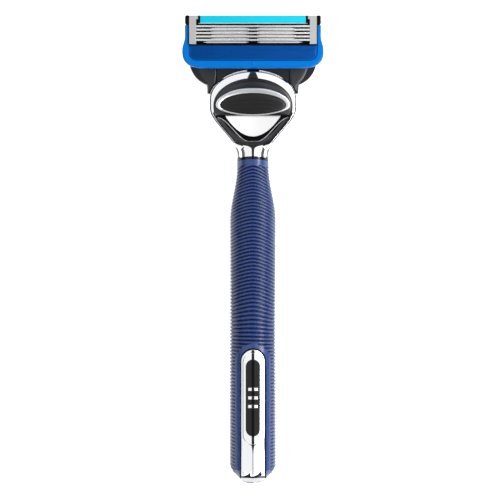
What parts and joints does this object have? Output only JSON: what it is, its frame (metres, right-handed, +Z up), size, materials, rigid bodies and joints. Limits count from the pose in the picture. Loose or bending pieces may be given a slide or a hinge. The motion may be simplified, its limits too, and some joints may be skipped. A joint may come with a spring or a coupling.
{
  "type": "cartridge razor",
  "caption": "Wet razor with a curved ribbed rubber grip, a plated neck with an eject button, and a pivoting cartridge of floating blades with a lubricating strip and fin guard.",
  "frame": {"origin": "on the surface the razor lies on, below the middle of its length and on its mid plane", "axes": "+Z up out of the blades, +Y from the handle's end to the cartridge, +X across the cartridge"},
  "size_m": [0.0428, 0.1421, 0.0184],
  "materials": {
    "plated_metal": "mirror-bright plating on die-cast metal",
    "bar_metal": "bright plated",
    "bezel_metal": "satin plated",
    "grip_rubber": "satin moulded elastomer with fine ribs",
    "gloss_black": "glossy",
    "liner_plastic": "semi-gloss moulded",
    "charcoal_plastic": "semi-gloss moulded",
    "slider_plastic": "fine moulded",
    "pad_rubber": "satin, with thumb ridges",
    "spring_steel": "drawn wire",
    "housing_plastic": "fine moulded",
    "blue_plastic": "satin-gloss moulded",
    "guard_rubber": "matt elastomer fins",
    "holder_plastic": "fine moulded",
    "lube_polymer": "smooth dry lubricating polymer",
    "clip_aluminium": "rolled and folded strip",
    "blade_steel": "ground and polished strip",
    "support_steel": "bent strip"
  },
  "bodies": {
    "handle": {"handle_core": "plated_metal", "grip_sleeve": "grip_rubber", "spine_insert": "gloss_black", "insert_bars": "bar_metal", "end_cap": "plated_metal", "neck_collar": "gloss_black", "neck_ring": "plated_metal", "neck_liner": "liner_plastic", "button_hood": "charcoal_plastic", "back_cover": "liner_plastic", "button_spring_left": "spring_steel", "button_spring_right": "spring_steel", "plunger_spring": "spring_steel"},
    "button": {"eject_button": "slider_plastic", "button_bezel": "bezel_metal", "button_pad": "pad_rubber"},
    "plunger": {"plunger": "slider_plastic"},
    "connector": {"yoke": "charcoal_plastic"},
    "cartridge": {"cartridge_housing": "housing_plastic", "cartridge_frame": "blue_plastic", "fin_guard": "guard_rubber", "strip_holder": "holder_plastic", "lube_strip": "lube_polymer", "clip_left": "clip_aluminium", "clip_right": "clip_aluminium"},
    "blade_1": {"blade_edge_1": "blade_steel", "blade_support_1": "support_steel"},
    "blade_2": {"blade_edge_2": "blade_steel", "blade_support_2": "support_steel"},
    "blade_3": {"blade_edge_3": "blade_steel", "blade_support_3": "support_steel"},
    "blade_4": {"blade_edge_4": "blade_steel", "blade_support_4": "support_steel"},
    "blade_5": {"blade_edge_5": "blade_steel", "blade_support_5": "support_steel"}
  },
  "joints": [
    {"name": "eject_button_slide", "type": "slide", "parent": "handle", "child": "button", "axis": [0, 1, 0], "range_m": [0, 0.0025], "stiffness_N_per_m": 600, "springref_m": -0.0015, "deforming": ["button_spring_left", "button_spring_right"]},
    {"name": "connector_release", "type": "slide", "parent": "handle", "child": "connector", "axis": [0, 1, 0], "range_m": [0, 0.0025]},
    {"name": "cartridge_pivot", "type": "hinge", "parent": "connector", "child": "cartridge", "pos_m": [0, 0.0584, 0.0084], "axis": [-1, 0, 0], "range_deg": [0, 40], "stiffness_Nm_per_rad": 0.007, "springref_deg": -11.46},
    {"name": "plunger_slide", "type": "slide", "parent": "handle", "child": "plunger", "axis": [0, -1, 0], "range_m": [0, 0.00367], "deforming": ["plunger_spring"]},
    {"name": "blade_1_float", "type": "slide", "parent": "cartridge", "child": "blade_1", "axis": [0, 0, -1], "range_m": [0, 0.00025], "stiffness_N_per_m": 800, "springref_m": -0.0002},
    {"name": "blade_2_float", "type": "slide", "parent": "cartridge", "child": "blade_2", "axis": [0, 0, -1], "range_m": [0, 0.00025], "stiffness_N_per_m": 800, "springref_m": -0.0002},
    {"name": "blade_3_float", "type": "slide", "parent": "cartridge", "child": "blade_3", "axis": [0, 0, -1], "range_m": [0, 0.00025], "stiffness_N_per_m": 800, "springref_m": -0.0002},
    {"name": "blade_4_float", "type": "slide", "parent": "cartridge", "child": "blade_4", "axis": [0, 0, -1], "range_m": [0, 0.00025], "stiffness_N_per_m": 800, "springref_m": -0.0002},
    {"name": "blade_5_float", "type": "slide", "parent": "cartridge", "child": "blade_5", "axis": [0, 0, -1], "range_m": [0, 0.00025], "stiffness_N_per_m": 800, "springref_m": -0.0002}
  ],
  "couplings": [
    {"joint": "connector_release", "follows": "eject_button_slide", "ratio": 1},
    {"joint": "plunger_slide", "follows": "cartridge_pivot", "m_per_rad": 0.00525}
  ]
}
